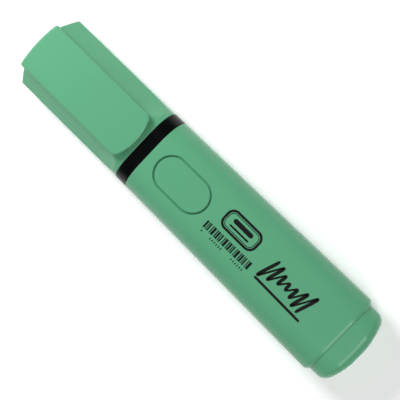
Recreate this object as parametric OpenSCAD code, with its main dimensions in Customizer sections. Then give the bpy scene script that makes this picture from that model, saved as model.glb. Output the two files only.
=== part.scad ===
// Flat highlighter with a pull-off cap, capped and lying on its flat underside.
// +X runs along the pen to the crown of the cap, +Z up through the clip, +Y across.
// The origin lies under the middle of the pen, on the surface that it rests on.

/* [Overall] */
// Width of the flange, and of the barrel where they meet
body_w = 22.8; // [20:0.1:28]
// Thickness of the cap, the flange and the barrel
body_t = 14.5; // [13:0.1:18]
// Length of the cap, from its mouth to its crown
cap_len = 37.9; // [35:0.1:50]
// Length of the flange that shows as a band between the cap and the barrel
band_len = 3.5; // [2:0.1:6]
// Length of the barrel, from the flange to its rear edge
barrel_len = 67.2; // [50:0.1:90]
// Length of the rear plug outside the barrel
plug_len = 6.8; // [5.5:0.1:12]

/* [Barrel] */
// Wall of the barrel at the flange
barrel_wall = 1.5; // [1.2:0.1:2]
// How far each side of the barrel flares out towards its rear edge
rear_flare = 0.8; // [0:0.1:2]
// Length of the chamfer round the barrel's rear edge
rear_chamfer_len = 1.1; // [0.4:0.1:2]
// How far the rear plug's sides lie inside the barrel's
rear_step = 1.05; // [0.8:0.05:1.3]
// How far the rear plug's flat faces lie inside the barrel's
flat_step = 0.35; // [0.2:0.05:1.2]
// Thickness of the ribs that hold the ink reservoir
rib_t = 1; // [0.8:0.1:1.4]
// Height of the ribs above and below the pen's axis
rib_z = 2.4; // [2:0.1:3]

/* [Grip pad] */
// Distance from the barrel's front edge to the middle of the pad's outline
pad_front = 3.2; // [1.5:0.1:8]
// Length of the pad's outline
pad_len = 17.1; // [12:0.1:24]
// Width of the pad's outline
pad_w = 9.5; // [6:0.1:12]
// Width of the groove that outlines the pad
pad_groove_w = 0.5; // [0.3:0.05:0.8]
// Depth of the groove that outlines the pad
pad_groove_d = 0.35; // [0.2:0.05:0.5]
// Distance from one fine groove to the next
pad_pitch = 0.78; // [0.6:0.02:1.2]
// Width of a fine groove
pad_fine_w = 0.3; // [0.2:0.05:0.4]
// Depth of a fine groove
pad_fine_d = 0.15; // [0.1:0.05:0.25]

/* [Rear plug] */
// Length of the plug's spigot inside the barrel
plug_spigot_len = 6; // [4:0.1:10]
// Radius of the plug's bowed rear end, seen from above
plug_end_r = 27.5; // [20:0.5:60]
// Radius of the corners of the rear end, seen from above
plug_corner_r = 4; // [3:0.1:4.8]
// Wall behind the hollow of the plug
plug_wall = 1.8; // [1.5:0.1:2.5]

/* [Cap] */
// How far the sides of the cap lie inside the flange's
cap_step = 0.15; // [0:0.05:0.4]
// Wall of the cap
cap_wall = 1.5; // [1.2:0.1:1.6]
// Wall of the cap at its mouth, where it grips the neck
mouth_wall = 1.95; // [1.6:0.05:2.4]
// Wall of the crown
crown_wall = 1.6; // [1.2:0.1:2.4]
// Radius of the bowed crown, seen from above
crown_r = 38; // [30:1:80]
// Length of the full-section ring at the mouth
ring_len = 1; // [0.6:0.1:3]
// Length of the slope from the ring down to the planed shoulders
ramp_len = 3.2; // [2:0.1:6]
// How far the cap's top lies below the ring under the clip
seat_drop = 0.9; // [0.5:0.05:1]
// Slope of the planed shoulders beside the clip
shoulder_angle = 50; // [45:1:55]
// Width of the ledge between the clip's root and each planed shoulder
shoulder_ledge = 0.2; // [0.1:0.05:0.5]
// How far behind the top's slope the slopes of the shoulders start
shoulder_lag = 0.3; // [0.2:0.1:1.5]
// Depth of the socket in the crown that holds the inner cap
socket_len = 3; // [2:0.1:5]

/* [Clip] */
// Width of the clip
clip_w = 14; // [11:0.1:15]
// Thickness of the clip's tongue
clip_t = 1.6; // [1.2:0.1:1.8]
// How far the clip's upper face stands above the barrel's
clip_rise = 2.1; // [1.9:0.1:3]
// Length of the solid root at the crown
clip_root_len = 6; // [4:0.1:10]
// Distance from the clip's free end to the mouth of the cap
clip_short = 0.8; // [0.3:0.1:6]
// Radius of the bowed free end, seen from above
clip_end_r = 15; // [10:0.5:40]
// Radius of the corners of the free end, seen from above
clip_corner_r = 3; // [1:0.1:4]

/* [Front section] */
// Length of the neck that the cap's mouth grips
neck_len = 7; // [5:0.1:8]
// Length of the nose's taper
nose_taper_len = 9; // [6:0.1:11]
// Length of the nose's straight tip, which the inner cap seals
nose_tip_len = 6; // [4:0.1:7]
// Width of the nose's tip
nose_w = 9.9; // [8.4:0.1:11]
// Thickness of the nose's tip
nose_t = 7.3; // [6:0.1:7.6]
// Length of the spigot inside the barrel
front_spigot_len = 6; // [4:0.1:10]
// Length of the snap bead on the neck
bead_len = 1; // [0.6:0.1:1.6]

/* [Nib and ink] */
// Width of the nib
nib_w = 5.2; // [3:0.1:6.4]
// Thickness of the nib
nib_t = 3.8; // [2.4:0.1:4.6]
// Length of the nib outside the nose
nib_out = 7; // [4:0.1:8]
// How far one side of the chisel edge lies behind the other
nib_slant = 3; // [1:0.1:4]
// Length of the nib's tail inside the reservoir
nib_tail = 8; // [5:0.1:12]
// Diameter of the fibre rod that holds the ink
rod_d = 9.6; // [8:0.1:9.6]
// Thickness of the film round the rod
film_t = 0.15; // [0.1:0.05:0.2]
// Outer diameter of the breather tube
tube_d = 1.6; // [1.2:0.1:2]
// Bore of the breather tube
tube_bore = 1; // [0.6:0.1:1]

/* [Inner cap] */
// Wall of the inner cap
inner_wall = 1; // [0.8:0.1:1]
// Length of the nose's straight tip left outside the inner cap
inner_lip_gap = 0.5; // [0.3:0.1:2]

/* [Clearances] */
// Gap between pieces that are pressed together
press_gap = 0.03; // [0.01:0.01:0.05]
// Gap between the neck and the mouth of the cap
cap_gap = 0.12; // [0.1:0.01:0.15]
// Gap left over the snap bead
bead_gap = 0.05; // [0.03:0.01:0.08]
// Gap between the nose's tip and the inner cap
seal_gap = 0.05; // [0.03:0.01:0.08]
// Gap between the cap's mouth and the flange
mouth_gap = 0.05; // [0.02:0.01:0.1]

/* [Hidden] */

$fn = 64;
slice = 0.01;
reach = 40;

pastel_green = "#6bb58b";
black = "#17181a";
mid_z = body_t / 2;

// Places along the pen, from the crown to the rear
x_crown = (cap_len + band_len + barrel_len + plug_len) / 2;
x_flange = x_crown - cap_len;
x_mouth = x_flange + mouth_gap;
x_barrel = x_flange - band_len;
x_rear = x_barrel - barrel_len;
x_end = x_rear - plug_len;
x_root = x_crown - clip_root_len;
x_neck_end = x_flange + neck_len;
x_tip = x_neck_end + nose_taper_len;
x_nose_end = x_tip + nose_tip_len;
x_rod_front = x_barrel - press_gap;
x_rod_rear = x_rear + press_gap;

// Sections that fit into one another
bore_w = body_w - 2 * barrel_wall;
bore_t = body_t - 2 * barrel_wall;
plug_w = body_w + 2 * (rear_flare - rear_step);
plug_t = body_t - 2 * flat_step;
cap_w = body_w - 2 * cap_step;
mouth_w = cap_w - 2 * mouth_wall;
mouth_t = body_t - 2 * mouth_wall;
neck_w = mouth_w - 2 * cap_gap;
neck_t = mouth_t - 2 * cap_gap;
wrap_d = rod_d + 2 * film_t + 2 * press_gap;
rod_socket_d = wrap_d + 2 * press_gap;
inner_bore_w = nose_w + 2 * seal_gap;
inner_bore_t = nose_t + 2 * seal_gap;
inner_w = inner_bore_w + 2 * inner_wall;
inner_t = inner_bore_t + 2 * inner_wall;

// The cap's deeper hollow, which keeps its wall behind the planed shoulders
seat_z = body_t - seat_drop;
hollow_t = seat_z - 2 * cap_wall;
hollow_z = seat_z / 2;
shoulder_y = clip_w / 2 + shoulder_ledge;
hollow_round_y = min(
    shoulder_y + ((seat_z - hollow_z) * cos(shoulder_angle) - hollow_t / 2 - cap_wall)
                 / sin(shoulder_angle),
    cap_w / 2 - cap_wall - hollow_t / 2);
hollow_w = hollow_t + 2 * hollow_round_y;
x_socket_end = x_crown - crown_wall;

// Flat oval: two half circles with straight sides between them
module oval(w, t) {
    square([w - t, t], center = true);
    for (side = [-1, 1]) translate([side * (w - t) / 2, 0]) circle(d = t);
}

// Bar of that section along the pen, from x0 to x1
module oval_bar(x0, x1, w, t, z = mid_z) {
    translate([x0, 0, z]) rotate([90, 0, 90]) linear_extrude(x1 - x0) oval(w, t);
}

// Block across the pen's axis, from x0 to x1
module bar(x0, x1, w, t) {
    translate([x0, -w / 2, mid_z - t / 2]) cube([x1 - x0, w, t]);
}

// Round bar along the pen, from x0 to x1
module rod(x0, x1, d, y = 0) {
    translate([x0, y, mid_z]) rotate([0, 90, 0]) cylinder(d = d, h = x1 - x0);
}

// Plan outline with a bowed end at x = 0 that points along -X, and rounded corners
module bowed_end(w, len, end_r, corner_r) {
    intersection() {
        union() {
            translate([end_r, 0]) circle(r = end_r, $fn = 256);
            translate([w / 2, -w / 2]) square([len, w]);
        }
        union() {
            translate([corner_r, -w / 2]) square([len - corner_r, w]);
            translate([0, -w / 2 + corner_r]) square([len, w - 2 * corner_r]);
            for (side = [-1, 1])
                translate([corner_r, side * (w / 2 - corner_r)]) circle(r = corner_r);
        }
    }
}

// Pill outline of the grip pad, grown by a margin all round
module pill(margin) {
    oval(pad_len + 2 * margin, pad_w + 2 * margin);
}

// Cutter for one grip pad: its outline groove and its fine lengthwise grooves
module pad_cutter() {
    pad_x = x_barrel - pad_front - pad_len / 2;
    rows = floor((pad_w / 2 - pad_groove_w) / pad_pitch);
    translate([pad_x, 0, body_t - pad_groove_d]) linear_extrude(reach) difference() {
        pill(pad_groove_w / 2);
        pill(-pad_groove_w / 2);
    }
    translate([pad_x, 0, body_t - pad_fine_d]) linear_extrude(reach) intersection() {
        pill(-pad_groove_w);
        for (row = [-rows:rows])
            translate([0, row * pad_pitch]) square([pad_len, pad_fine_w], center = true);
    }
}

module barrel() {
    chamfer_w = plug_w + 0.3;
    chamfer_t = plug_t + 0.3;
    color(pastel_green) {
        difference() {
            hull() {
                oval_bar(x_barrel - slice, x_barrel, body_w, body_t);
                oval_bar(x_rear + rear_chamfer_len, x_rear + rear_chamfer_len + slice,
                         body_w + 2 * rear_flare, body_t);
                oval_bar(x_rear, x_rear + slice, chamfer_w, chamfer_t);
            }
            oval_bar(x_rear - 1, x_barrel + 1, bore_w, bore_t);
            pad_cutter();
            translate([0, 0, body_t]) mirror([0, 0, 1]) pad_cutter();
        }
        for (side = [-1, 1], level = [-1, 1]) reservoir_rib(side, level);
    }
}

// One of the four ribs inside the barrel, from the wall to the wrapped reservoir
module reservoir_rib(side, level) {
    x0 = x_rear + plug_spigot_len + 1;
    x1 = x_barrel - front_spigot_len - 1;
    y0 = wrap_d / 2 + press_gap;
    y1 = (bore_w + barrel_wall) / 2;
    translate([x0, side > 0 ? y0 : -y1, mid_z + level * rib_z - rib_t / 2])
        cube([x1 - x0, y1 - y0, rib_t]);
}

module rear_plug() {
    color(pastel_green) difference() {
        union() {
            intersection() {
                oval_bar(x_end, x_rear, plug_w, plug_t);
                translate([x_end, 0, 0]) linear_extrude(body_t)
                    bowed_end(plug_w, plug_len + 1, plug_end_r, plug_corner_r);
            }
            oval_bar(x_rear - slice, x_rear + plug_spigot_len,
                     bore_w - 2 * press_gap, bore_t - 2 * press_gap);
        }
        rod(x_rear, x_rear + plug_spigot_len + 1, rod_socket_d);
        rod(x_end + plug_wall, x_rear + 1, rod_socket_d - 3);
    }
}

module nib_holder() {
    bead_w = mouth_w - 2 * bead_gap;
    bead_t = mouth_t - 2 * bead_gap;
    bead_x = x_flange + neck_len / 2;
    color(black) difference() {
        union() {
            oval_bar(x_barrel - front_spigot_len, x_barrel + slice,
                     bore_w - 2 * press_gap, bore_t - 2 * press_gap);
            oval_bar(x_barrel, x_flange, body_w, body_t);
            oval_bar(x_flange - slice, x_neck_end, neck_w, neck_t);
            oval_bar(bead_x, bead_x + bead_len, bead_w, bead_t);
            hull() {
                oval_bar(x_neck_end - slice, x_neck_end, neck_w - 3, neck_t - 1.5);
                oval_bar(x_tip, x_tip + slice, nose_w, nose_t);
            }
            oval_bar(x_tip, x_nose_end, nose_w, nose_t);
        }
        rod(x_barrel - front_spigot_len - 1, x_barrel, rod_socket_d);
        bar(x_barrel - 1, x_nose_end + 1, nib_w + 2 * press_gap, nib_t + 2 * press_gap);
    }
}

module nib() {
    x0 = x_rod_front - nib_tail;
    x1 = x_nose_end + nib_out;
    blunt = 0.8;
    color("#d8e84a") translate([0, 0, mid_z - nib_t / 2]) linear_extrude(nib_t) polygon([
        [x0, -nib_w / 2], [x1 - blunt, -nib_w / 2], [x1, -nib_w / 2 + blunt],
        [x1 - nib_slant, nib_w / 2], [x0, nib_w / 2]]);
}

module ink_reservoir() {
    color("#bfe6cf") difference() {
        rod(x_rod_rear, x_rod_front, rod_d);
        bar(x_rod_front - nib_tail - press_gap, x_rod_front + 1,
            nib_w + 2 * press_gap, nib_t + 2 * press_gap);
    }
}

module reservoir_wrap() {
    color("#e9f2ec") difference() {
        rod(x_rod_rear + 1, x_rod_front - 1, wrap_d);
        rod(x_rod_rear, x_rod_front, rod_d + 2 * press_gap);
    }
}

module breather_tube() {
    x0 = x_rear + plug_spigot_len + 1;
    x1 = x_barrel - front_spigot_len - 1;
    y = -wrap_d / 2 - tube_d / 2 - press_gap;
    color("#f4f4ee") difference() {
        rod(x0, x1, tube_d, y);
        rod(x0 - 1, x1 + 1, tube_bore, y);
    }
}

// Cutter that planes the cap down to z = 0, after a slope that starts at x0
module planing(w, x0) {
    translate([0, w / 2, 0]) rotate([90, 0, 0]) linear_extrude(w) polygon([
        [x0, 1.05 * seat_drop], [x0 + ramp_len, 0], [x_crown + reach, 0],
        [x_crown + reach, reach], [x0, reach]]);
}

module cap() {
    color(pastel_green) difference() {
        intersection() {
            union() {
                difference() {
                    oval_bar(x_mouth, x_crown, cap_w, body_t);
                    translate([0, 0, seat_z]) planing(2 * body_w, x_mouth + ring_len);
                    for (side = [-1, 1])
                        translate([0, side * shoulder_y, seat_z])
                            rotate([-side * shoulder_angle, 0, 0])
                                planing(body_w, x_mouth + ring_len + shoulder_lag);
                }
                translate([x_root, -clip_w / 2, seat_z - cap_wall / 2])
                    cube([clip_root_len, clip_w, clip_rise + seat_drop + cap_wall / 2]);
            }
            translate([x_crown - crown_r, 0, -1]) linear_extrude(body_t + reach)
                circle(r = crown_r, $fn = 256);
        }
        oval_bar(x_mouth - 1, x_neck_end + 0.4, mouth_w, mouth_t);
        oval_bar(x_neck_end, x_socket_end - socket_len, hollow_w, hollow_t, hollow_z);
        oval_bar(x_neck_end, x_socket_end, inner_w + 2 * press_gap, inner_t + 2 * press_gap);
    }
}

module inner_cap() {
    x0 = x_tip + inner_lip_gap;
    x1 = x_socket_end - press_gap;
    color("#f2f2ec") difference() {
        oval_bar(x0, x1, inner_w, inner_t);
        oval_bar(x0 - 1, x1 - inner_wall, inner_bore_w, inner_bore_t);
    }
}

module clip() {
    x0 = x_mouth + clip_short;
    color(pastel_green)
        translate([x0, 0, body_t + clip_rise - clip_t]) linear_extrude(clip_t)
            bowed_end(clip_w, x_root - x0, clip_end_r, clip_corner_r);
}

barrel();
rear_plug();
nib_holder();
nib();
ink_reservoir();
reservoir_wrap();
breather_tube();
cap();
inner_cap();
clip();
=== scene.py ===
import math

import bmesh
import bpy
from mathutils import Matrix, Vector


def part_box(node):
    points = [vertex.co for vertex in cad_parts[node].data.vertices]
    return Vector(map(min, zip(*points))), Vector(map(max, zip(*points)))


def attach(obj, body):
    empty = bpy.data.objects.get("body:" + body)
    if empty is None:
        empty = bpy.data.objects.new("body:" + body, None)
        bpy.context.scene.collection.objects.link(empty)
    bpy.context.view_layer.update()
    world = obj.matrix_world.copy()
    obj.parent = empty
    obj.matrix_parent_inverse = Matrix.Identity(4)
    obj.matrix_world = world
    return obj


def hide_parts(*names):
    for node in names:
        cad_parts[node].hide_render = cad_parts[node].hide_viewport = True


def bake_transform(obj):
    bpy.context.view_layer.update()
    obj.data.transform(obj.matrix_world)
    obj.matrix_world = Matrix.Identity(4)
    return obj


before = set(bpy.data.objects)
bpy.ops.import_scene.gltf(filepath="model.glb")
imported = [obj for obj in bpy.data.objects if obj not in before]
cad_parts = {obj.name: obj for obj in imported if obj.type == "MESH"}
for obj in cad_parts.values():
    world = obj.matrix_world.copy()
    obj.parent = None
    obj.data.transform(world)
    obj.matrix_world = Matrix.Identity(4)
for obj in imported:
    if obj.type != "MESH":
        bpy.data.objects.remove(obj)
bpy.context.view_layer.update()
MM = 0.001


# ---- Barrel ----
# The barrel is a flat oval tube, injection moulded in pastel green polypropylene, and it widens a
# little towards its chamfered rear edge. A pill-shaped grip pad with fine ribs is moulded into its
# top and its underside, and a groove outlines each.

barrel_low, barrel_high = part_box("barrel")
holder_low, holder_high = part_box("nib_holder")
x_rear = barrel_low.x
x_barrel = barrel_high.x
body_t = barrel_high.z
mid_z = body_t / 2
body_w = 2 * holder_high.y
rear_flare = barrel_high.y - holder_high.y
wall = 1.5 * MM
mould_edge = 0.2 * MM
rear_chamfer_len = 1.1 * MM
rear_narrowing = 1.8 * MM
rear_thinning = 0.4 * MM
round_steps = 20
merge_distance = 0.002 * MM


def only(piece):
    """Makes a piece the one that is selected and active."""
    bpy.ops.object.select_all(action="DESELECT")
    bpy.context.view_layer.objects.active = piece
    piece.select_set(True)


def pick(piece, part, test):
    """Selects the VERT, EDGE or FACE elements of a piece in edit mode that pass the test."""
    bpy.ops.mesh.select_mode(type=part)
    bpy.ops.mesh.select_all(action="DESELECT")
    mesh = bmesh.from_edit_mesh(piece.data)
    for element in {"VERT": mesh.verts, "EDGE": mesh.edges, "FACE": mesh.faces}[part]:
        if test(element):
            element.select_set(True)
    mesh.select_flush_mode()
    bmesh.update_edit_mesh(piece.data)


def editing(piece):
    """Opens a piece, and no other, in edit mode."""
    only(piece)
    bpy.ops.object.mode_set(mode="EDIT")


def done():
    """Closes edit mode."""
    bpy.ops.object.mode_set(mode="OBJECT")


def block(name, low, high):
    """Adds a block between two corners, with its place in its mesh."""
    bpy.ops.object.select_all(action="DESELECT")
    middle = [(a + b) / 2 for a, b in zip(low, high)]
    bpy.ops.mesh.primitive_cube_add(size=1, location=middle, scale=[b - a for a, b in zip(low, high)])
    bpy.ops.object.transform_apply(location=True, rotation=True, scale=True)
    piece = bpy.context.object
    piece.name = name
    piece.data.name = name
    return piece


def runs_along(edge, axis):
    """True if the edge runs along one axis, 0, 1 or 2, over most of its length."""
    step = edge.verts[1].co - edge.verts[0].co
    return abs(step[axis]) > 0.99 * step.length


def faces_along(face, x_sign):
    """True if the face looks along +X, or along -X for a sign of -1."""
    return face.normal.x * x_sign > 0.9


def oval_bar(name, x0, x1, width, thickness, z=mid_z):
    """Adds a bar with a flat oval section: a block whose long edges are rounded until they meet."""
    bar = block(name, (x0, -width / 2, z - thickness / 2), (x1, width / 2, z + thickness / 2))
    editing(bar)
    pick(bar, "EDGE", lambda edge: runs_along(edge, 0))
    bpy.ops.mesh.bevel(offset=thickness / 2, segments=round_steps, affect="EDGES", clamp_overlap=False)
    bpy.ops.mesh.select_all(action="SELECT")
    bpy.ops.mesh.remove_doubles(threshold=merge_distance)
    done()
    return bar


def next_oval(bar, x, old, new):
    """Extrudes the selected end of an oval bar to x, and changes its width and thickness there."""
    start = next(vert.co.x for vert in bmesh.from_edit_mesh(bar.data).verts if vert.select)
    bpy.ops.mesh.extrude_region_move(TRANSFORM_OT_translate={"value": (x - start, 0, 0)})
    rim = {vert.index for vert in bmesh.from_edit_mesh(bar.data).verts if vert.select}
    scale = new[1] / old[1]
    shift = ((new[0] - new[1]) - (old[0] - old[1])) / 2
    for side in (-1, 1):
        pick(bar, "VERT", lambda vert: vert.index in rim and vert.co.y * side > 0)
        middle_of_round = (x, side * (old[0] - old[1]) / 2, mid_z)
        bpy.ops.transform.resize(value=(1, scale, scale), center_override=middle_of_round)
        bpy.ops.transform.translate(value=(0, side * shift, 0))
    pick(bar, "VERT", lambda vert: vert.index in rim)
    bpy.ops.mesh.select_mode(type="FACE")
    return new


def pill_block(name, x, length, width, z0, z1):
    """Adds a pill-shaped plate that lies flat, with its middle at x."""
    pill = block(name, (x - length / 2, -width / 2, z0), (x + length / 2, width / 2, z1))
    editing(pill)
    pick(pill, "EDGE", lambda edge: runs_along(edge, 2))
    bpy.ops.mesh.bevel(offset=width / 2, segments=24, affect="EDGES", clamp_overlap=False)
    bpy.ops.mesh.select_all(action="SELECT")
    bpy.ops.mesh.remove_doubles(threshold=merge_distance)
    done()
    return pill


def apply_modifier(piece, kind, **settings):
    """Adds a modifier to a piece and applies it at once."""
    modifier = piece.modifiers.new(kind.lower(), kind)
    for name, value in settings.items():
        setattr(modifier, name, value)
    only(piece)
    bpy.ops.object.modifier_apply(modifier=modifier.name)


def cut(piece, tool, operation="DIFFERENCE"):
    """Cuts the tool's shape out of a piece, or keeps what both share, and throws the tool away."""
    apply_modifier(piece, "BOOLEAN", object=tool, operation=operation, solver="EXACT")
    bpy.data.meshes.remove(tool.data)


def soften(piece, radius, steps=3, angle=35):
    """Rounds every edge sharper than an angle in degrees, as a mould's edges are."""
    apply_modifier(piece, "BEVEL", width=radius, segments=steps, limit_method="ANGLE",
                   angle_limit=math.radians(angle), use_clamp_overlap=False)


def smooth(piece, angle=40):
    """Shades a piece smooth up to an angle in degrees, and keeps its flat faces flat."""
    only(piece)
    bpy.ops.object.shade_smooth_by_angle(angle=math.radians(angle))
    apply_modifier(piece, "WEIGHTED_NORMAL", keep_sharp=True)


barrel = oval_bar("barrel_shell", x_rear + rear_chamfer_len, x_barrel, body_w, body_t)
editing(barrel)
for side in (-1, 1):
    pick(barrel, "VERT", lambda vert: vert.co.x < 0 and vert.co.y * side > 0)
    bpy.ops.transform.translate(value=(0, side * rear_flare, 0))
# The rear chamfer, deep at the sides and slight on the flats, then the two ends of the bore, joined
bore = (body_w - 2 * wall, body_t - 2 * wall)
rear = (2 * barrel_high.y, body_t)
pick(barrel, "FACE", lambda face: faces_along(face, -1))
section = next_oval(barrel, x_rear, rear, (rear[0] - rear_narrowing, rear[1] - rear_thinning))
next_oval(barrel, x_rear, section, bore)
pick(barrel, "FACE", lambda face: faces_along(face, 1))
next_oval(barrel, x_barrel, (body_w, body_t), bore)
pick(barrel, "FACE", lambda face: abs(face.normal.x) > 0.99 and len(face.verts) > 4)
bpy.ops.mesh.delete(type="ONLY_FACE")
bpy.ops.mesh.select_mode(type="EDGE")
bpy.ops.mesh.select_non_manifold(extend=False)
bpy.ops.mesh.bridge_edge_loops()
done()
soften(barrel, mould_edge)

# The grip pads: an outline groove with eased lips, and ribs whose grooves fade out short of it
pad_len = 17.1 * MM
pad_w = 9.5 * MM
pad_setback = 3.2 * MM
pad_x = x_barrel - pad_setback - pad_len / 2
groove_w = 0.5 * MM
groove_d = 0.6 * MM
lip = 0.1 * MM
rib_pitch = 0.78 * MM
rib_groove_w = 0.44 * MM
rib_groove_d = 0.12 * MM
rib_rows = 5
rib_margin = 0.84 * MM
rib_end = pad_w / 2 - rib_margin
rib_taper = 0.8 * MM
rib_tip = 0.05
skin = 0.02 * MM
tool_reach = 1 * MM


def ease_end(tool, z_sign, ease, reach):
    """Narrows the upper or lower end of a tool over a 45-degree lip, and carries on from there."""
    editing(tool)
    pick(tool, "FACE", lambda face: face.normal.z * z_sign > 0.9)
    bpy.ops.mesh.inset(thickness=ease, depth=ease)
    bpy.ops.mesh.extrude_region_move(TRANSFORM_OT_translate={"value": (0, 0, z_sign * reach)})
    done()


for surface_z, outward in ((body_t, 1), (0, -1)):
    ring = pill_block("ring_tool", pad_x, pad_len + groove_w + 2 * lip, pad_w + groove_w + 2 * lip,
                      *sorted((surface_z + outward * skin, surface_z + outward * tool_reach)))
    ease_end(ring, -outward, lip, groove_d - lip + skin)
    island = pill_block("island_tool", pad_x, pad_len - groove_w, pad_w - groove_w,
                        *sorted((surface_z - outward * tool_reach, surface_z - outward * lip)))
    ease_end(island, outward, lip + skin, 2 * tool_reach)
    cut(ring, island)
    cut(barrel, ring)
    rib_z = surface_z + outward * skin / 2
    for row in range(-rib_rows, rib_rows + 1):
        y = row * rib_pitch
        half_len = (pad_len - pad_w) / 2 + math.sqrt(rib_end ** 2 - y ** 2) - rib_taper
        bpy.ops.object.select_all(action="DESELECT")
        bpy.ops.mesh.primitive_cylinder_add(vertices=4, radius=1, depth=2 * half_len,
                                            location=(pad_x, y, rib_z), rotation=(0, math.pi / 2, 0),
                                            scale=(rib_groove_d, rib_groove_w / 2, 1))
        bpy.ops.object.transform_apply(location=True, rotation=True, scale=True)
        rib_tool = bpy.context.object
        editing(rib_tool)
        for end in (-1, 1):
            pick(rib_tool, "FACE", lambda face: faces_along(face, end))
            bpy.ops.mesh.extrude_region_move(TRANSFORM_OT_translate={"value": (end * rib_taper, 0, 0)})
            bpy.ops.transform.resize(value=(1, rib_tip, rib_tip), center_override=(pad_x, y, rib_z))
        done()
        cut(barrel, rib_tool)
smooth(barrel)


def linear(hex_colour):
    """Turns an sRGB hex colour into the linear colour that a shader takes."""
    channels = [int(hex_colour[i:i + 2], 16) / 255 for i in (1, 3, 5)]
    return [c / 12.92 if c <= 0.04045 else ((c + 0.055) / 1.055) ** 2.4 for c in channels] + [1]


def add_node(tree, kind, inputs, **settings):
    """Adds a shader node with its settings, and links or sets its inputs."""
    node = tree.nodes.new("ShaderNode" + kind)
    for name, value in settings.items():
        setattr(node, name, value)
    for name, value in inputs.items():
        socket = next(s for s in node.inputs if name in (s.identifier, s.name))
        if isinstance(value, bpy.types.NodeSocket):
            tree.links.new(value, socket)
        else:
            socket.default_value = value
    return node


def per_mm(size):
    """The texture scale whose features are about this many millimetres across."""
    return 1 / (size * MM)


def new_material(name):
    """Adds a material, and gives it, its tree, its Principled shader and its object coordinates."""
    material = bpy.data.materials.new(name)
    material.use_nodes = True
    tree = material.node_tree
    tree.nodes.clear()
    shader = add_node(tree, "BsdfPrincipled", {})
    add_node(tree, "OutputMaterial", {"Surface": shader.outputs["BSDF"]})
    return material, tree, shader, add_node(tree, "TexCoord", {}).outputs["Object"]


def feed(tree, shader, inputs):
    """Links or sets inputs of a shader."""
    for name, value in inputs.items():
        if isinstance(value, bpy.types.NodeSocket):
            tree.links.new(value, shader.inputs[name])
        else:
            shader.inputs[name].default_value = value


def moulded_polypropylene(name, light, dark, roughness, gloss, paints_groove_shade=False):
    """Injection-moulded polypropylene from a fine spark-eroded mould: a satin skin with a grain that
    is felt more than seen, and pigment that is a shade lighter here and darker there, in clouds of
    14 mm and streaks of 3 mm where the plastic flowed along the pen. The grain is drawn at 0.3 mm,
    coarser than the real one. When asked, it also paints shade into the floors of the pad's grooves:
    a darker green from 0.12 to 0.4 mm under the flat top and underside, within 5.4 mm of the middle."""
    material, tree, shader, place = new_material(name)
    cloud = add_node(tree, "TexNoise", {"Vector": place, "Scale": per_mm(14), "Detail": 3})
    flow_place = add_node(tree, "Mapping", {"Vector": place, "Scale": (0.12, 1, 1)})
    flow = add_node(tree, "TexNoise", {"Vector": flow_place.outputs["Vector"], "Scale": per_mm(3),
                                       "Detail": 1})
    tone = add_node(tree, "Mix", {"Factor_Float": 0.3, "A_Float": cloud.outputs["Fac"],
                                  "B_Float": flow.outputs["Fac"]}, data_type="FLOAT")
    colour = add_node(tree, "Mix", {"Factor_Float": tone.outputs["Result"], "A_Color": linear(dark),
                                    "B_Color": linear(light)}, data_type="RGBA")
    if paints_groove_shade:
        # Painted shade: the pad's groove floors turn darker green, fully so at 0.4 mm under the top or
        # underside
        painted_shade_starts, painted_shade_full = 0.12 * MM, 0.4 * MM
        painted_shade_half_w = 5.4 * MM
        axes = add_node(tree, "SeparateXYZ", {"Vector": place}).outputs
        off_middle = add_node(tree, "Math", {"Value": axes["Z"], "Value_001": mid_z}, operation="SUBTRACT")
        height = add_node(tree, "Math", {"Value": off_middle.outputs["Value"]}, operation="ABSOLUTE")
        sideways = add_node(tree, "Math", {"Value": axes["Y"]}, operation="ABSOLUTE")
        deep = add_node(tree, "MapRange", {"Value": height.outputs["Value"],
                                           "From Min": mid_z - painted_shade_full, "From Max": mid_z - painted_shade_starts,
                                           "To Min": 1, "To Max": 0})
        inside = add_node(tree, "Math", {"Value": sideways.outputs["Value"], "Value_001": painted_shade_half_w},
                          operation="LESS_THAN")
        painted_shade = add_node(tree, "Math", {"Value": deep.outputs["Result"],
                                        "Value_001": inside.outputs["Value"]}, operation="MULTIPLY")
        # Mixes the painted shade's darker green into the plastic's colour
        colour = add_node(tree, "Mix", {"Factor_Float": painted_shade.outputs["Value"],
                                        "A_Color": colour.outputs["Result"],
                                        "B_Color": linear("#4e9670")}, data_type="RGBA")
    rough = add_node(tree, "MapRange", {"Value": flow.outputs["Fac"], "To Min": roughness - 0.03,
                                        "To Max": roughness + 0.04})
    grain = add_node(tree, "TexNoise", {"Vector": place, "Scale": per_mm(0.3), "Detail": 2})
    bump = add_node(tree, "Bump", {"Height": grain.outputs["Fac"], "Strength": 0.25, "Distance": 0.02 * MM})
    feed(tree, shader, {"Base Color": colour.outputs["Result"], "Roughness": rough.outputs["Result"],
                        "Normal": bump.outputs["Normal"], "IOR": 1.49, "Specular IOR Level": gloss})
    return material


pastel_green = ("#62ad84", "#5da67e")
satin = 0.2
green_gloss = 0.25
green_plastic = moulded_polypropylene("pastel_green_polypropylene", *pastel_green, satin, green_gloss)
# The barrel's plastic, with painted shade in the grooves of its grip pads
groove_shaded_plastic = moulded_polypropylene("groove_shaded_green_polypropylene", *pastel_green, satin, green_gloss,
                                        paints_groove_shade=True)
barrel.data.materials.append(groove_shaded_plastic)
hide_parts("barrel")
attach(barrel, "pen")


# ---- Print ----
# The print on the barrel is black ink, pad printed on the flat top behind the grip pad. It is plain:
# a rounded box with a thick and a thin line for the two strokes of the nib, a block of bars beside a
# row of ticks, and a scribble over a line, as someone tries a pen out.

ink_t = 0.02 * MM
ink_lift = 0.004 * MM
drop_height = 1 * MM
print_x = x_barrel - 30.9 * MM


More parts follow.
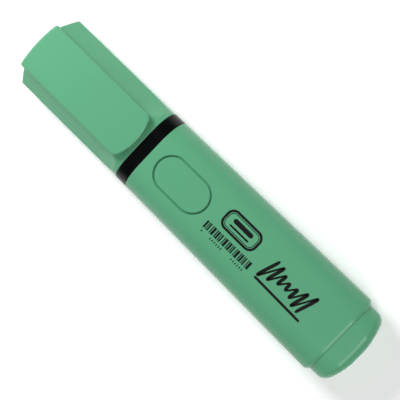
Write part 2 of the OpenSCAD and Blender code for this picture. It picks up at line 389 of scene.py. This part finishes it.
def ink_stroke(path, width, steps):
    """Adds one flat ink line along a path, a function of 0 to 1 that gives x and y. The width is a
    function too. It is a grid whose rows are laid along the path, a little above the barrel."""
    bpy.ops.object.select_all(action="DESELECT")
    bpy.ops.mesh.primitive_grid_add(x_subdivisions=steps, y_subdivisions=2, size=1, location=(0.5, 0, 0))
    bpy.ops.object.transform_apply(location=True)
    line = bpy.context.object
    nudge = 0.25 / steps
    for vert in line.data.vertices:
        t, across = vert.co.x, vert.co.y
        (ax, ay), (bx, by) = path(max(0, t - nudge)), path(min(1, t + nudge))
        length = math.hypot(bx - ax, by - ay)
        x, y = path(t)
        offset = across * width(t)
        vert.co = (x - (by - ay) / length * offset, y + (bx - ax) / length * offset,
                   body_t + drop_height)
    return line


def straight(x0, y0, x1, y1):
    """The path of a straight stroke between two points."""
    return lambda t: (x0 + (x1 - x0) * t, y0 + (y1 - y0) * t)


def brush(width, ends=0.04):
    """A stroke's width that is rounded off at both ends."""
    return lambda t: width * math.sqrt(max(0.03, 1 - max(0, 1 - min(t, 1 - t) / ends) ** 2))


def finish_print(name, lines):
    """Joins ink lines, lays them on the barrel and gives them the thickness of the ink."""
    bpy.ops.object.select_all(action="DESELECT")
    for line in lines:
        line.select_set(True)
    bpy.context.view_layer.objects.active = lines[0]
    bpy.ops.object.join()
    mark = lines[0]
    mark.name = name
    mark.data.name = name
    apply_modifier(mark, "SHRINKWRAP", target=barrel, wrap_method="PROJECT", use_project_z=True,
                   use_negative_direction=True, use_positive_direction=False, offset=ink_lift)
    apply_modifier(mark, "SOLIDIFY", thickness=ink_t, offset=1)
    mark.data.materials.append(black_ink)
    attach(mark, "pen")


def printed_ink(name, colour):
    """Pad-printed ink: flat black that bleeds to a thin charcoal where the pad lifted, with a finish
    duller than the plastic. Its pinholes are drawn at 0.2 mm."""
    material, tree, shader, place = new_material(name)
    pinholes = add_node(tree, "TexNoise", {"Vector": place, "Scale": per_mm(0.2), "Detail": 2})
    thin = add_node(tree, "MapRange", {"Value": pinholes.outputs["Fac"], "From Min": 0.62, "From Max": 0.8})
    shade = add_node(tree, "Mix", {"Factor_Float": thin.outputs["Result"], "A_Color": linear(colour),
                                   "B_Color": linear("#141d19")}, data_type="RGBA")
    feed(tree, shader, {"Base Color": shade.outputs["Result"], "Roughness": 0.5, "Specular IOR Level": 0.2})
    return material


black_ink = printed_ink("black_printing_ink", "#050706")

# The rounded box, drawn with a thick and a thin outline, and the two strokes in it
sign_len, sign_w, sign_y = 11 * MM, 5.3 * MM, -2.4 * MM
sign_corner = 1.9 * MM
corner_steps = 12
outline_w = 0.66 * MM
inner_outline_w = 0.2 * MM
inner_outline_inset = 0.62 * MM
outline_steps = 160
closing_share = 0.9995
stroke_half_len = 3.3 * MM


def rounded_box_path(inset):
    """The way round the box's outline from 0 to 1, a distance inside it."""
    half_x, half_y = sign_len / 2 - sign_corner, sign_w / 2 - sign_corner
    radius = sign_corner - inset
    corners = [(half_x, half_y, 0), (-half_x, half_y, 90),
               (-half_x, -half_y, 180), (half_x, -half_y, 270)]
    corner_points = []
    for corner_x, corner_y, turn in corners:
        for step in range(corner_steps + 1):
            angle = math.radians(turn + 90 / corner_steps * step)
            corner_points.append(Vector((print_x + corner_x + radius * math.cos(angle),
                                         sign_y + corner_y + radius * math.sin(angle))))
    corner_points.append(corner_points[0].copy())
    lengths = [0]
    for a, b in zip(corner_points, corner_points[1:]):
        lengths.append(lengths[-1] + (b - a).length)

    def path(t):
        gone = closing_share * t * lengths[-1]
        i = max(i for i in range(len(lengths) - 1) if lengths[i] <= gone)
        share = (gone - lengths[i]) / (lengths[i + 1] - lengths[i])
        return tuple(corner_points[i].lerp(corner_points[i + 1], share))

    return path


sign = [ink_stroke(rounded_box_path(0), lambda t: outline_w, outline_steps),
        ink_stroke(rounded_box_path(inner_outline_inset), lambda t: inner_outline_w, outline_steps)]
for stroke_y, stroke_w in ((sign_y - 0.6 * MM, 1.3 * MM), (sign_y + 1.05 * MM, 0.5 * MM)):
    # Half its width as a share of its length, so that its ends come out as half circles
    rounding = stroke_w / (13 * MM)
    path = straight(print_x + stroke_half_len, stroke_y, print_x - stroke_half_len, stroke_y)
    sign.append(ink_stroke(path, brush(stroke_w, rounding), 24))
finish_print("stroke_sign_print", sign)

# The block of bars, whose widths and gaps repeat in a plain cycle, and the row of ticks beside it.
# The cycle's widths, the ticks' pitch and where each group of ticks starts are in millimetres.
bar_cycle = (0.55, 0.25, 0.4, 0.25, 0.7, 0.3)
gap_share = 0.7
bars_from, bars_to = print_x + 8 * MM, print_x - 7.8 * MM
bar_y0, bar_y1 = 1.7 * MM, 3.9 * MM
tick_y0, tick_y1 = 4.5 * MM, 5.1 * MM
tick_w = 0.26 * MM
tick_pitch = 0.75
tick_groups = ((7.4, 1), (4.4, 6), (-3.1, 6))
bars = []
bar_x = bars_from
count = 0
while bar_x > bars_to:
    bar_w = bar_cycle[count % len(bar_cycle)] * MM
    bars.append(ink_stroke(straight(bar_x - bar_w / 2, bar_y0, bar_x - bar_w / 2, bar_y1),
                           lambda t: bar_w, 4))
    bar_x -= bar_w + bar_cycle[(count + 2) % len(bar_cycle)] * gap_share * MM
    count += 1
for first, ticks in tick_groups:
    for i in range(ticks):
        tick_x = print_x + (first - tick_pitch * i) * MM
        bars.append(ink_stroke(straight(tick_x, tick_y0, tick_x, tick_y1), lambda t: tick_w, 2))
finish_print("bar_block_print", bars)

# The scribble: a slanted wave, whose heights are in millimetres, over a line
scribble_x0 = x_barrel - 41.7 * MM
scribble_len = 14.6 * MM
scribble_y = -0.3 * MM
waves = 6.5
wave_height, wave_growth = 2.1, 1.2
slant = 0.45


def scribble_path(t):
    """The slanted wave, tall at both ends and low in the middle."""
    height = (wave_height + wave_growth * math.cos(2 * math.pi * t)) * MM
    y = scribble_y - height * math.cos(2 * math.pi * waves * t)
    return scribble_x0 - scribble_len * t + slant * y, y


def scribble_width(t):
    """Wide on the way down and narrow on the way up, as a flat nib draws."""
    return (0.72 + 0.2 * math.sin(2 * math.pi * waves * t)) * MM * brush(1, 0.02)(t)


underline = straight(scribble_x0 + 0.6 * MM, 3.65 * MM, scribble_x0 - 15.6 * MM, 3.95 * MM)
underline_w = 0.68 * MM
finish_print("scribble_print", [ink_stroke(scribble_path, scribble_width, 240),
                                ink_stroke(underline, brush(underline_w, 0.03), 40)])


# ---- Rear plug ----
# The plug closes the barrel's rear. It is moulded in the same green plastic and pressed in with a
# spigot; what shows is a step smaller than the barrel, and bowed and rounded off at the end.

plug_low, plug_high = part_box("rear_plug")
plug_w = 2 * plug_high.y
plug_t = plug_high.z - plug_low.z
press_play = 0.06 * MM
spigot = (body_w - 2 * wall - press_play, body_t - 2 * wall - press_play)
corner_r = 1.8 * MM
rim_r = 2.4 * MM
rim_steps = 12
end_bow_r = 27.5 * MM
end_strips = 9


def strips(bar, flat_w, steps):
    """Cuts an oval bar along its length, so that its ends are upright strips that can bow."""
    ys = sorted({round(vert.co.y, 7) for vert in bar.data.vertices})
    ys += [flat_w * (i / steps - 0.5) for i in range(1, steps)]
    editing(bar)
    for y in ys[1:]:
        if abs(y) < bar.dimensions.y / 2 - 0.05 * MM:
            bpy.ops.mesh.select_all(action="SELECT")
            bpy.ops.mesh.bisect(plane_co=(0, y, 0), plane_no=(0, 1, 0), threshold=0.0005 * MM)
    done()


def bow(piece, x_from, radius):
    """Bows an end that points along -X: every corner behind x_from moves by the arc's depth at its y."""
    for vert in piece.data.vertices:
        if vert.co.x < x_from:
            vert.co.x += radius - math.sqrt(radius ** 2 - vert.co.y ** 2)


plug_x = plug_low.x + rim_r
plug = oval_bar("rear_plug_shell", plug_x, x_rear, plug_w, plug_t)
strips(plug, plug_w - plug_t, end_strips)
editing(plug)
pick(plug, "FACE", lambda face: faces_along(face, -1))
section = (plug_w, plug_t)
for step in range(1, rim_steps + 1):
    turn = math.radians(90 / rim_steps * step)
    x = rim_r * math.sin(turn)
    into_corner = max(0, x - (rim_r - corner_r))
    narrower = corner_r - math.sqrt(max(0, corner_r ** 2 - into_corner ** 2))
    thinner = rim_r - rim_r * math.cos(turn)
    section = next_oval(plug, plug_x - x, section, (plug_w - 2 * narrower, plug_t - 2 * thinner))
pick(plug, "FACE", lambda face: faces_along(face, 1))
next_oval(plug, x_rear, (plug_w, plug_t), spigot)
next_oval(plug, plug_high.x, spigot, spigot)
done()
bow(plug, plug_x + 0.001 * MM, end_bow_r)
smooth(plug)
plug.data.materials.append(green_plastic)
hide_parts("rear_plug")
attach(plug, "pen")


# ---- Nib holder ----
# The front section is black polypropylene, pressed into the barrel. Its flange shows as the band
# between barrel and cap. Under the cap it has a neck with a snap bead, a tapered nose, and a slot
# that grips the nib and lets air in beside it.

cap_low, cap_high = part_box("cap")
nib_low, nib_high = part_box("nib")
inner_low, inner_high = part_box("inner_cap")
mouth_gap = 0.05 * MM
x_flange = cap_low.x - mouth_gap
neck_len = 7 * MM
mouth_wall = 1.95 * MM
cap_w = 2 * cap_high.y
mouth = (cap_w - 2 * mouth_wall, body_t - 2 * mouth_wall)
neck_play = 0.24 * MM
bead_play = 0.1 * MM
neck = (mouth[0] - neck_play, mouth[1] - neck_play)
bead = (mouth[0] - bead_play, mouth[1] - bead_play)
neck_edge = 0.6 * MM
nose = (9.9 * MM, 7.3 * MM)
nose_edge = 0.7 * MM
nose_taper_len = 9 * MM
x_neck_end = x_flange + neck_len
x_nose_tip = x_neck_end + nose_taper_len
nib_w = nib_high.y - nib_low.y
nib_t = nib_high.z - nib_low.z
nib_slot_gap = 0.03 * MM
air_slot_y = 3.6 * MM
air_slot_half_w = 1.4 * MM
air_slot_half_t = 0.35 * MM
holder_edge = 0.13 * MM

# The flange, then the neck with its bead, the shoulder, and the nose with its bevelled tip
holder = oval_bar("nib_holder_body", x_barrel, x_flange, body_w, body_t)
editing(holder)
pick(holder, "FACE", lambda face: faces_along(face, 1))
section = next_oval(holder, x_flange, (body_w, body_t), neck)
bead_x = x_flange + neck_len / 2
shoulder = (neck[0] - 3 * MM, neck[1] - 1.5 * MM)
for x, wanted in ((bead_x - 0.3 * MM, neck), (bead_x, bead), (bead_x + 0.8 * MM, bead),
                  (bead_x + 1.4 * MM, neck), (x_neck_end - 0.5 * MM, neck),
                  (x_neck_end, (neck[0] - neck_edge, neck[1] - neck_edge)),
                  (x_neck_end, shoulder), (x_nose_tip, nose), (holder_high.x - 0.4 * MM, nose),
                  (holder_high.x, (nose[0] - nose_edge, nose[1] - nose_edge))):
    section = next_oval(holder, x, section, wanted)
# The spigot inside the barrel
pick(holder, "FACE", lambda face: faces_along(face, -1))
next_oval(holder, x_barrel, (body_w, body_t), spigot)
next_oval(holder, holder_low.x, spigot, spigot)
done()
cut(holder, block("nib_slot_tool",
                  (x_barrel, -nib_w / 2 - nib_slot_gap, mid_z - nib_t / 2 - nib_slot_gap),
                  (holder_high.x + MM, nib_w / 2 + nib_slot_gap, mid_z + nib_t / 2 + nib_slot_gap)))
for side in (-1, 1):
    slot_y = side * air_slot_y
    cut(holder, block("air_slot_tool",
                      (x_nose_tip + 2 * MM, slot_y - air_slot_half_w, mid_z - air_slot_half_t),
                      (holder_high.x + MM, slot_y + air_slot_half_w, mid_z + air_slot_half_t)))
soften(holder, holder_edge, angle=40)
smooth(holder)
black_gloss = 0.15
black_plastic = moulded_polypropylene("black_polypropylene", "#07090a", "#040606", satin, black_gloss)
holder.data.materials.append(black_plastic)
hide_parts("nib_holder")
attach(holder, "pen")


# ---- Nib ----
# The nib is a bar of polyester fibres bonded into stiff felt, ground to a slanted chisel edge and
# soaked with ink, so it is darker at its edge than where it leaves the holder.

nib_slant = 3 * MM
nib_corner = 0.8 * MM
nib_edge = 0.3 * MM
nib = block("felt_nib", nib_low, nib_high)
editing(nib)
pick(nib, "VERT", lambda vert: vert.co.x > 0 and vert.co.y > 0)
bpy.ops.transform.translate(value=(-nib_slant, 0, 0))
pick(nib, "EDGE", lambda edge: runs_along(edge, 2) and edge.verts[0].co.x > nib_high.x - 0.01 * MM)
bpy.ops.mesh.bevel(offset=nib_corner, segments=3, affect="EDGES", clamp_overlap=False)
bpy.ops.mesh.select_all(action="SELECT")
bpy.ops.mesh.bisect(plane_co=(holder_high.x, 0, 0), plane_no=(1, 0, 0))
done()
soften(nib, nib_edge, steps=4)
smooth(nib, 60)


def bonded_felt(name, dry, wet, wet_x, tip_x):
    """Bonded polyester felt: a matt, faintly hairy bar whose fibres run along the pen, with the ink
    pooled dark at the ground tip. The fibres are drawn 0.3 mm apart, coarser than they are."""
    material, tree, shader, place = new_material(name)
    along = add_node(tree, "Mapping", {"Vector": place, "Scale": (0.15, 1, 1)})
    fibres = add_node(tree, "TexNoise", {"Vector": along.outputs["Vector"], "Scale": per_mm(0.3),
                                         "Detail": 5})
    axes = add_node(tree, "SeparateXYZ", {"Vector": place})
    soaked = add_node(tree, "MapRange", {"Value": axes.outputs["X"], "From Min": wet_x, "From Max": tip_x})
    mixed = add_node(tree, "Math", {"Value": soaked.outputs["Result"], "Value_001": fibres.outputs["Fac"]},
                     operation="MULTIPLY")
    colour = add_node(tree, "Mix", {"Factor_Float": mixed.outputs["Value"], "A_Color": linear(dry),
                                    "B_Color": linear(wet)}, data_type="RGBA")
    bump = add_node(tree, "Bump", {"Height": fibres.outputs["Fac"], "Strength": 0.6, "Distance": 0.08 * MM})
    feed(tree, shader, {"Base Color": colour.outputs["Result"], "Roughness": 0.85, "Sheen Weight": 0.3,
                        "Normal": bump.outputs["Normal"]})
    return material


nib.data.materials.append(bonded_felt("ink_soaked_polyester_felt", "#7fd0a0", "#2f8f60",
                                      holder_high.x, nib_high.x))
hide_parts("nib")
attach(nib, "pen")


# ---- Cap ----
# The cap is the same green polypropylene. It is a flat oval shell whose top and shoulders are planed
# down behind a full ring at the mouth, so that the clip stands clear, and its crown is bowed. Its
# mouth grips the neck of the nib holder.

clip_low, clip_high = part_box("clip")
x_crown = cap_high.x
x_root = clip_high.x
clip_w = clip_high.y - clip_low.y
crown_r = 38 * MM
crown_wall = 1.6 * MM
seat_drop = 0.9 * MM
seat_z = body_t - seat_drop
ring_len = 1 * MM
ramp_len = 3.2 * MM
ramp_rise = 0.95 * MM
ramp_round = 0.95 * ramp_len
shoulder_angle = 50
shoulder_inset = 0.3 * MM
shoulder_lag = 0.3 * MM
shoulder_y = clip_w / 2 - shoulder_inset
planing_w = 40 * MM
socket_len = 3 * MM
mouth_overlap = 0.4 * MM
mouth_edge = 0.2 * MM
crown_edge = 0.25 * MM


def planing_tool(x0, width):
    """A block that planes down to z = 0, after a slope from x0 that runs out in a soft curve."""
    tool = block("planing_tool", (x0 + ramp_len, -width / 2, 0), (x_crown + 5 * MM, width / 2, 20 * MM))
    editing(tool)
    pick(tool, "FACE", lambda face: faces_along(face, -1))
    bpy.ops.mesh.extrude_region_move(TRANSFORM_OT_translate={"value": (-ramp_len, 0, 0)})
    pick(tool, "VERT", lambda vert: vert.co.x < x0 + 0.1 * MM and vert.co.z < MM)
    bpy.ops.transform.translate(value=(0, 0, ramp_rise))
    pick(tool, "EDGE", lambda edge: runs_along(edge, 1) and edge.verts[0].co.z < MM
         and abs(edge.verts[0].co.x - x0 - ramp_len) < 0.1 * MM)
    bpy.ops.mesh.bevel(offset=ramp_round, segments=20, affect="EDGES", clamp_overlap=False)
    done()
    return tool


def crown_tool(z0, z1):
    """The upright drum that bows the crown."""
    bpy.ops.object.select_all(action="DESELECT")
    bpy.ops.mesh.primitive_cylinder_add(vertices=256, radius=crown_r, depth=z1 - z0,
                                        location=(x_crown - crown_r, 0, (z0 + z1) / 2))
    bpy.ops.object.transform_apply(location=True, rotation=True, scale=True)
    return bpy.context.object


cap = oval_bar("cap_shell_moulding", cap_low.x, x_crown, cap_w, body_t)
seat = planing_tool(cap_low.x + ring_len, planing_w)
seat.location.z = seat_z
bpy.ops.object.transform_apply(location=True, rotation=True)
cut(cap, seat)
for side in (-1, 1):
    plane = planing_tool(cap_low.x + ring_len + shoulder_lag, planing_w)
    plane.location = (0, side * shoulder_y, seat_z)
    plane.rotation_euler.x = -side * math.radians(shoulder_angle)
    bpy.ops.object.transform_apply(location=True, rotation=True)
    cut(cap, plane)
cut(cap, crown_tool(-MM, body_t + MM), "INTERSECT")
# Its hollow, which keeps a full wall under the planed shoulders, and the inner cap's socket
slope = math.radians(shoulder_angle)
hollow_t = seat_z - 2 * wall
hollow_round_y = shoulder_y + (((seat_z - hollow_t / 2 - wall) * math.cos(slope)
                                - hollow_t / 2 - wall) / math.sin(slope))
hollow_w = hollow_t + 2 * min(hollow_round_y, cap_w / 2 - wall - hollow_t / 2)
x_socket_end = x_crown - crown_wall
socket_w = inner_high.y - inner_low.y + press_play
socket_t = inner_high.z - inner_low.z + press_play
cut(cap, oval_bar("deep_tool", x_neck_end, x_socket_end - socket_len, hollow_w, hollow_t, seat_z / 2))
cut(cap, oval_bar("mouth_tool", cap_low.x - MM, x_neck_end + mouth_overlap, *mouth))
cut(cap, oval_bar("socket_tool", x_neck_end, x_socket_end, socket_w, socket_t))
# Its rounded edges, at both rims of the mouth and round the crown
editing(cap)
pick(cap, "EDGE", lambda edge: all(abs(vert.co.x - cap_low.x) < 0.01 * MM for vert in edge.verts))
bpy.ops.mesh.bevel(offset=mouth_edge, segments=6, affect="EDGES", clamp_overlap=False)
pick(cap, "EDGE", lambda edge: edge.verts[0].co.x > x_crown - 4 * MM and len(edge.link_faces) == 2
     and max(face.normal.x for face in edge.link_faces) > 0.9
     and abs(min(face.normal.x for face in edge.link_faces)) < 0.5)
bpy.ops.mesh.bevel(offset=crown_edge, segments=6, affect="EDGES", clamp_overlap=False)
done()
smooth(cap, 17)
cap.data.materials.append(green_plastic)
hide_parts("cap")
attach(cap, "cap_shell")


# ---- Clip ----
# The clip is moulded in one with the cap: a wide flat tongue that stands on a root at the crown and
# runs back over the cap to a bowed free end. It springs up from its root as something slides under.

clip_r = 15 * MM
clip_corner = 1.2 * MM
clip_edge = 0.45 * MM
clip_strips = 24
root_sink = 0.1 * MM
bend_cuts = 12
clip = block("clip_tongue_moulding", clip_low, (x_crown + MM, clip_high.y, clip_high.z))
editing(clip)
pick(clip, "EDGE", lambda edge: runs_along(edge, 2) and edge.verts[0].co.x < clip_low.x + MM)
bpy.ops.mesh.bevel(offset=clip_corner, segments=10, affect="EDGES", clamp_overlap=False)
for i in range(1, clip_strips):
    y = (clip_w - 2 * clip_corner) * (i / clip_strips - 0.5)
    bpy.ops.mesh.select_all(action="SELECT")
    bpy.ops.mesh.bisect(plane_co=(0, y, 0), plane_no=(0, 1, 0))
# The root, down into the cap's planed top, and the stretch that bends
bpy.ops.mesh.select_all(action="SELECT")
bpy.ops.mesh.bisect(plane_co=(x_root, 0, 0), plane_no=(1, 0, 0))
pick(clip, "FACE", lambda face: face.normal.z < -0.9 and face.calc_center_median().x > x_root)
root_depth = seat_z - root_sink - clip_low.z
bpy.ops.mesh.extrude_region_move(TRANSFORM_OT_translate={"value": (0, 0, root_depth)})
for i in range(bend_cuts):
    bpy.ops.mesh.select_all(action="SELECT")
    bpy.ops.mesh.bisect(plane_co=(x_root - i * MM, 0, 0), plane_no=(1, 0, 0))
done()
bow(clip, clip_low.x + clip_corner + 0.1 * MM, clip_r)
cut(clip, crown_tool(0, 30 * MM), "INTERSECT")
soften(clip, clip_edge, steps=4, angle=50)
smooth(clip)
clip.data.materials.append(green_plastic)
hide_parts("clip")
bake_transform(clip)


# ---- Inner cap and breather tube ----
# Both are uncoloured polyethylene: the cup that seals the nib inside the cap, and the thin tube that
# lets air past the ink rod as ink is used.

def natural_polyethylene(name):
    """Uncoloured polyethylene: milky and waxy, with light that sinks in a little and blurs its edges,
    and a faint cloud in the milk."""
    material, tree, shader, place = new_material(name)
    milk = add_node(tree, "TexNoise", {"Vector": place, "Scale": per_mm(5), "Detail": 3})
    colour = add_node(tree, "Mix", {"Factor_Float": milk.outputs["Fac"], "A_Color": linear("#e6e7e0"),
                                    "B_Color": linear("#f2f2ec")}, data_type="RGBA")
    skin = add_node(tree, "TexNoise", {"Vector": place, "Scale": per_mm(0.4), "Detail": 2})
    bump = add_node(tree, "Bump", {"Height": skin.outputs["Fac"], "Strength": 0.2, "Distance": 0.02 * MM})
    feed(tree, shader, {"Base Color": colour.outputs["Result"], "Roughness": 0.45, "IOR": 1.51,
                        "Subsurface Weight": 0.3, "Subsurface Scale": 1 * MM,
                        "Normal": bump.outputs["Normal"]})
    return material


def refinish(node_name, material):
    """Gives a CAD node its finish."""
    node_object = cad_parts[node_name]
    node_object.data.materials.clear()
    node_object.data.materials.append(material)


polyethylene = natural_polyethylene("natural_polyethylene")
refinish("inner_cap", polyethylene)
refinish("breather_tube", polyethylene)


# ---- Ink rod and its film ----
# The ink is held in a rod of crimped fibres that fills the barrel from the nib to the plug, wound in
# a clear film so that it slides in without snagging.

def ink_fibres(name):
    """A bundle of crimped polyester fibres full of green ink: matt, streaked along the pen, darker
    where the ink has settled. The fibres are drawn 0.4 mm apart, coarser than they are."""
    material, tree, shader, place = new_material(name)
    along = add_node(tree, "Mapping", {"Vector": place, "Scale": (0.08, 1, 1)})
    streaks = add_node(tree, "TexNoise", {"Vector": along.outputs["Vector"], "Scale": per_mm(0.4),
                                          "Detail": 6})
    colour = add_node(tree, "Mix", {"Factor_Float": streaks.outputs["Fac"], "A_Color": linear("#4fa878"),
                                    "B_Color": linear("#8fd8ae")}, data_type="RGBA")
    bump = add_node(tree, "Bump", {"Height": streaks.outputs["Fac"], "Strength": 0.5, "Distance": 0.1 * MM})
    feed(tree, shader, {"Base Color": colour.outputs["Result"], "Roughness": 0.8,
                        "Normal": bump.outputs["Normal"]})
    return material


def wound_film(name):
    """Thin polypropylene film wound round the rod: clear and glossy, hazy in bands where it laps. A
    wave repeats about three times in its scale, so the laps are 4 mm apart."""
    material, tree, shader, place = new_material(name)
    laps = add_node(tree, "TexWave", {"Vector": place, "Scale": per_mm(12), "Distortion": 1.5},
                    bands_direction="X")
    haze = add_node(tree, "MapRange", {"Value": laps.outputs["Fac"], "To Min": 0.12, "To Max": 0.3})
    feed(tree, shader, {"Base Color": linear("#eef6f1"), "Roughness": haze.outputs["Result"], "IOR": 1.49,
                        "Transmission Weight": 0.85})
    return material


refinish("ink_reservoir", ink_fibres("ink_soaked_fibre_rod"))
refinish("reservoir_wrap", wound_film("wound_polypropylene_film"))


# ---- Studio ----
# A plain white table under soft studio light: a key light over the crown, weaker ones over the rear
# that fill its shadows and put a glint on the edges, and a pale sky.

table_size = 6
table_gap = 0.03 * MM
bpy.ops.object.select_all(action="DESELECT")
bpy.ops.mesh.primitive_plane_add(size=table_size, location=(0, 0, -table_gap))
floor = bpy.context.object
floor.name = "table_top"


def white_laminate(name):
    """White laminate: flat and matt, with a cloud of grey too faint to see as a pattern."""
    material, tree, shader, place = new_material(name)
    cloud = add_node(tree, "TexNoise", {"Vector": place, "Scale": per_mm(60), "Detail": 2})
    colour = add_node(tree, "Mix", {"Factor_Float": cloud.outputs["Fac"], "A_Color": linear("#f6f6f6"),
                                    "B_Color": linear("#fafafa")}, data_type="RGBA")
    feed(tree, shader, {"Base Color": colour.outputs["Result"], "Roughness": 0.9,
                        "Emission Color": (1, 1, 1, 1), "Emission Strength": 0.2})
    return material


floor.data.materials.append(white_laminate("white_laminate"))

# The sky is brightest just over the horizon, as pale walls are
world = bpy.data.worlds.new("white_sky")
world.use_nodes = True
sky = world.node_tree
heading = add_node(sky, "SeparateXYZ", {"Vector": add_node(sky, "TexCoord", {}).outputs["Generated"]})
height = add_node(sky, "MapRange", {"Value": heading.outputs["Z"], "From Min": 0.1, "From Max": 0.35,
                                    "To Min": 0.32, "To Max": 0.14})
sky.nodes["Background"].inputs["Color"].default_value = (1, 1, 1, 1)
sky.links.new(height.outputs["Result"], sky.nodes["Background"].inputs["Strength"])
bpy.context.scene.world = world


def softbox(name, tilt, azimuth, distance, size, power):
    """Adds a square area light that points at the pen, tilted from overhead towards an azimuth, which
    is counted from +X. Its distance and size are in metres and its power in watts."""
    direction = Vector((math.sin(math.radians(tilt)) * math.cos(math.radians(azimuth)),
                        math.sin(math.radians(tilt)) * math.sin(math.radians(azimuth)),
                        math.cos(math.radians(tilt))))
    bpy.ops.object.light_add(type="AREA", location=direction * distance,
                             rotation=direction.to_track_quat("Z", "Y").to_euler())
    light = bpy.context.object
    light.name = name
    light.data.size = size
    light.data.energy = power


softbox("key_light", tilt=43, azimuth=-9, distance=0.26, size=0.08, power=0.437)
softbox("top_fill_light", tilt=24, azimuth=178, distance=0.6, size=0.26, power=0.96)
softbox("left_glint_light", tilt=42, azimuth=-173, distance=0.6, size=0.04, power=0.33)
softbox("right_glint_light", tilt=42, azimuth=157, distance=0.6, size=0.04, power=0.33)

# The camera looks down on the pen from just behind its middle, and is turned so that the pen lies
# from corner to corner
bpy.ops.object.camera_add(location=(-0.04938, -0.0331, 0.33752),
                          rotation=[math.radians(a) for a in (1.753, 10.018, -135.734)])
camera = bpy.context.object
camera.data.lens = 116.06
camera.data.clip_start = 0.01
bpy.context.scene.camera = camera
bpy.context.scene.view_settings.view_transform = "Standard"
